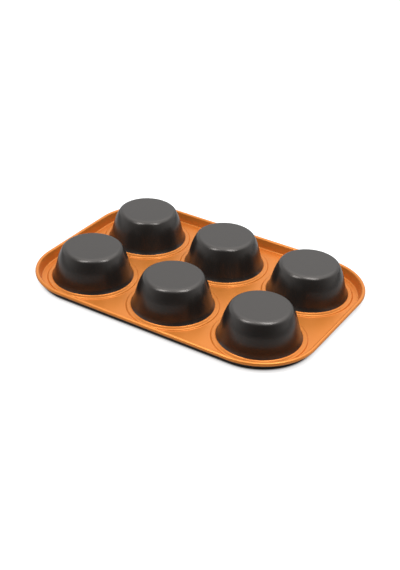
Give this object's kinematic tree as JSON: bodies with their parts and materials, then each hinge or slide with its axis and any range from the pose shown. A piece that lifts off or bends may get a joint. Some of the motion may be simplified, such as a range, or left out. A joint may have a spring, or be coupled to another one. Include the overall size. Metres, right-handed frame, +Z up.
{
  "type": "muffin pan",
  "caption": "Rectangular muffin pan pressed from one sheet: round tapered cups in rows, a raised ring round each cup, and a leaning rim with a rolled edge. Shown cups upward.",
  "frame": {"origin": "centre of the pan in plan, on the face of the deck that lies on the table, mouths down", "axes": "+X along the longer side, +Y across the rows of cups, +Z up towards the flat cup bottoms"},
  "size_m": [0.3424, 0.2374, 0.0388],
  "materials": {
    "coated_sheet": "satin"
  },
  "bodies": {
    "root": {"muffin_pan": "coated_sheet"}
  },
  "joints": []
}
